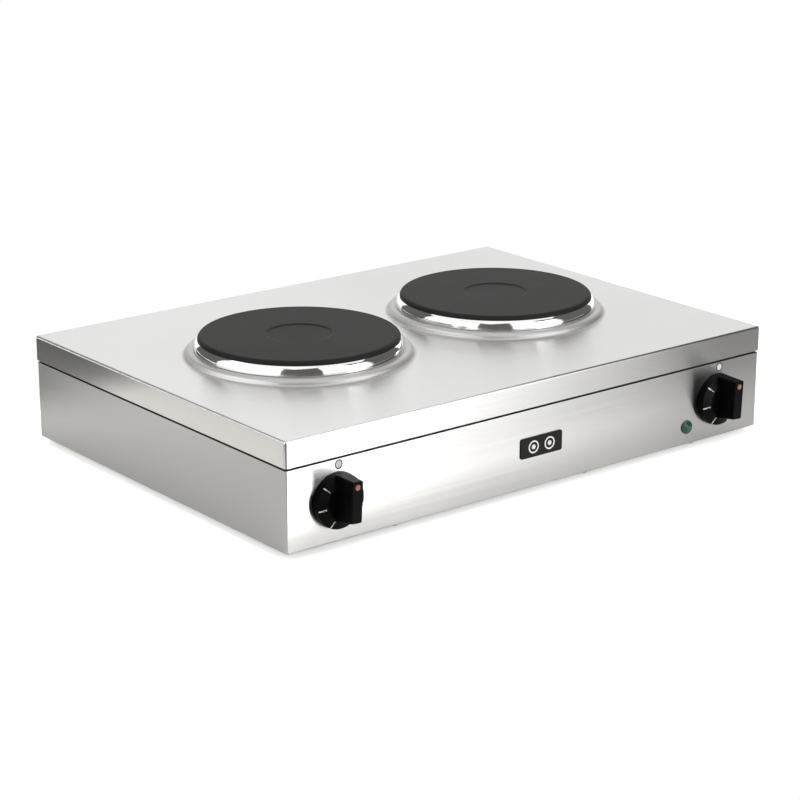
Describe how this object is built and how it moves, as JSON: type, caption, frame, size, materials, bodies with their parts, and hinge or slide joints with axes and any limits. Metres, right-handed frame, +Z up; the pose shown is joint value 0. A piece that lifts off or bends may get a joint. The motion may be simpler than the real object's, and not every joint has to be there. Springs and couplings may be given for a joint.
{
  "type": "two-ring electric hot plate",
  "caption": "Low rectangular stainless-steel countertop boiling unit with round cast-iron hotplates on top, rotary heat controls and a pilot lamp on the front.",
  "frame": {"origin": "on the surface the feet stand on, under the middle of the whole object (knobs and rear cable gland included)", "axes": "+X to the right of a person facing the front, the front faces -Y, +Z is up"},
  "size_m": [0.53, 0.4336, 0.1187],
  "materials": {
    "case_steel": "brushed stainless steel, satin",
    "galvanised_steel": "zinc-coated sheet, matt spangle",
    "zinc_fasteners": "bright zinc plate",
    "rubber": "matt black",
    "brass": "plain",
    "green_lens": "clear faceted green, glossy",
    "white_plastic": "matt",
    "badge_black": "satin black, flat, with rounded corners",
    "gland_nylon": "satin black nylon",
    "ceramic": "unglazed off-white steatite",
    "supply_insulation": "brown silicone, satin",
    "lamp_insulation": "white silicone, satin",
    "earth_insulation": "green and yellow, satin",
    "cast_iron": "black-coated cast iron, fine-grained matt",
    "ring_chrome": "polished stainless steel",
    "gasket_fibre": "woven glass fibre",
    "heating_alloy": "oxidised resistance alloy",
    "switch_phenolic": "moulded phenolic",
    "spindle_steel": "turned steel",
    "knob_black": "satin black thermoset",
    "pointer_orange": "salmon-orange inlay",
    "heat_sleeving": "glass-braid sleeving"
  },
  "bodies": {
    "chassis": {"top_cover": "case_steel", "body_shell": "case_steel", "base_plate": "galvanised_steel", "cover_nuts": "zinc_fasteners", "base_screws": "zinc_fasteners", "foot_front_left": "rubber", "foot_front_right": "rubber", "foot_rear_left": "rubber", "foot_rear_right": "rubber", "foot_screws": "zinc_fasteners", "foot_nuts": "zinc_fasteners", "switch_screws": "zinc_fasteners", "terminal_tabs": "brass", "lamp_lens": "green_lens", "lamp_body": "white_plastic", "lamp_clip": "zinc_fasteners", "badge": "badge_black", "gland_body": "gland_nylon", "gland_seal": "rubber", "gland_cap": "gland_nylon", "gland_locknut": "gland_nylon", "mains_terminal_block": "ceramic", "mains_terminal_screws": "brass", "supply_wires": "supply_insulation", "lamp_wires": "lamp_insulation", "earth_wire": "earth_insulation", "earth_nuts": "brass", "left_hotplate": "cast_iron", "left_spill_ring": "ring_chrome", "left_ring_gasket": "gasket_fibre", "left_heating_rings": "heating_alloy", "left_under_pan": "galvanised_steel", "left_plate_terminal_block": "ceramic", "left_clamp_bar": "galvanised_steel", "left_clamp_stud": "zinc_fasteners", "left_clamp_nut": "zinc_fasteners", "left_switch_housing": "switch_phenolic", "left_switch_back": "switch_phenolic", "left_plate_wires": "heat_sleeving", "right_hotplate": "cast_iron", "right_spill_ring": "ring_chrome", "right_ring_gasket": "gasket_fibre", "right_heating_rings": "heating_alloy", "right_under_pan": "galvanised_steel", "right_plate_terminal_block": "ceramic", "right_clamp_bar": "galvanised_steel", "right_clamp_stud": "zinc_fasteners", "right_clamp_nut": "zinc_fasteners", "right_switch_housing": "switch_phenolic", "right_switch_back": "switch_phenolic", "right_plate_wires": "heat_sleeving"},
    "left_control": {"left_switch_cams": "switch_phenolic", "left_spindle": "spindle_steel", "left_knob": "knob_black", "left_pointer_dot": "pointer_orange"},
    "right_control": {"right_switch_cams": "switch_phenolic", "right_spindle": "spindle_steel", "right_knob": "knob_black", "right_pointer_dot": "pointer_orange"}
  },
  "joints": [
    {"name": "left_knob_turn", "type": "hinge", "parent": "chassis", "child": "left_control", "pos_m": [-0.2152, -0.2, 0.0418], "axis": [0, 1, 0], "continuous": true},
    {"name": "right_knob_turn", "type": "hinge", "parent": "chassis", "child": "right_control", "pos_m": [0.2124, -0.2, 0.0418], "axis": [0, 1, 0], "continuous": true}
  ]
}
